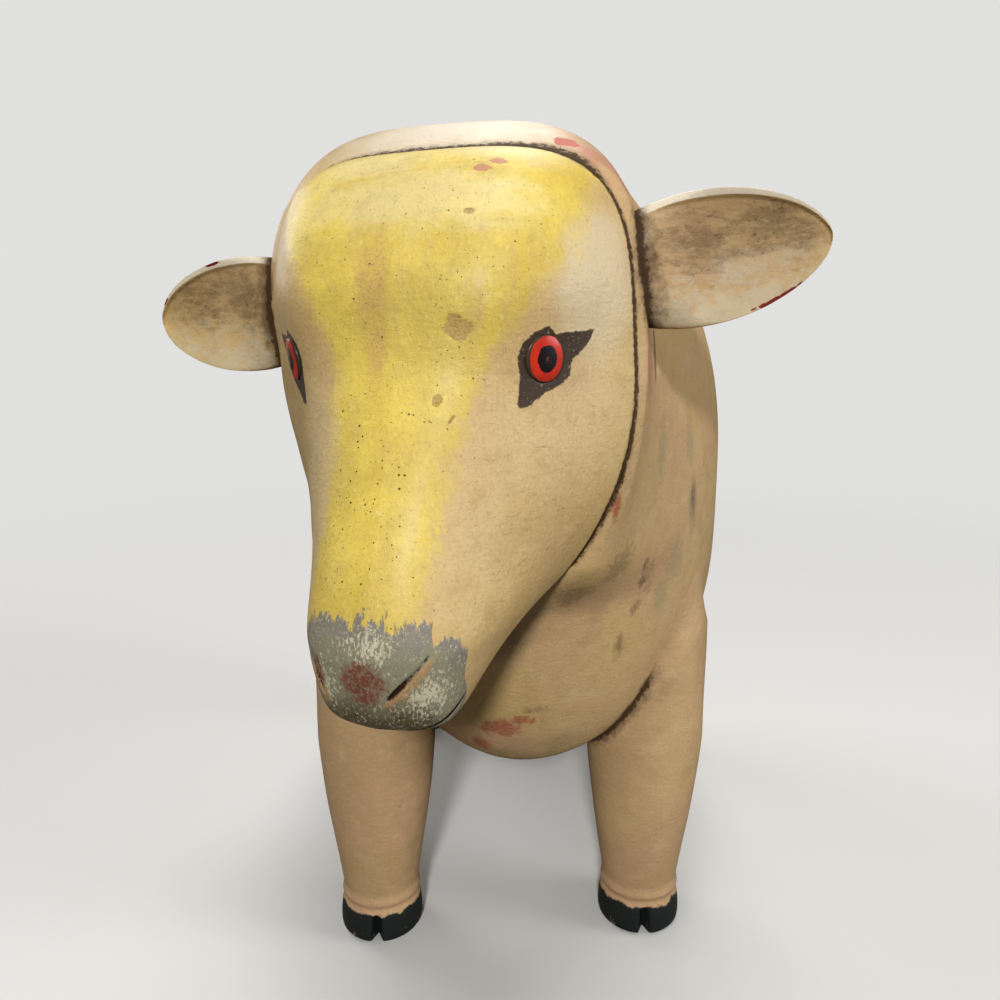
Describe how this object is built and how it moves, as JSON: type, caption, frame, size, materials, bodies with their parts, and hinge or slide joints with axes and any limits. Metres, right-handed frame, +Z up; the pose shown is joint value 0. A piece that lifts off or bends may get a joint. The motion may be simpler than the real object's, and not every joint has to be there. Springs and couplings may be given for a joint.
{
  "type": "sheep figurine",
  "caption": "Carved and painted wooden sheep figurine, standing, with a turned glued-on head, cupped ears, domed eyes, dowelled legs with cloven hooves and a hanging tail.",
  "frame": {"origin": "on the floor, under the middle of the bounding box", "axes": "+Z up, +Y from the head towards the tail, +X to the animal's left"},
  "size_m": [0.1368, 0.2518, 0.1988],
  "materials": {
    "cream_paint": "worn cream paint over wood, satin",
    "yellow_paint": "worn yellow and cream paint over wood, satin",
    "ear_paint": "soiled cream paint over wood, satin",
    "leg_paint": "worn cream paint over wood with dark hooves, satin",
    "eye_paint": "glossy red paint",
    "bare_wood": "bare, matte"
  },
  "bodies": {
    "root": {"body_block": "cream_paint", "head_block": "yellow_paint", "head_dowel_upper": "bare_wood", "head_dowel_lower": "bare_wood", "left_ear": "ear_paint", "right_ear": "ear_paint", "left_eye": "eye_paint", "right_eye": "eye_paint", "front_left_leg": "leg_paint", "front_right_leg": "leg_paint", "hind_left_leg": "leg_paint", "hind_right_leg": "leg_paint", "front_left_leg_dowel": "bare_wood", "front_right_leg_dowel": "bare_wood", "hind_left_leg_dowel": "bare_wood", "hind_right_leg_dowel": "bare_wood", "tail": "cream_paint"}
  },
  "joints": []
}
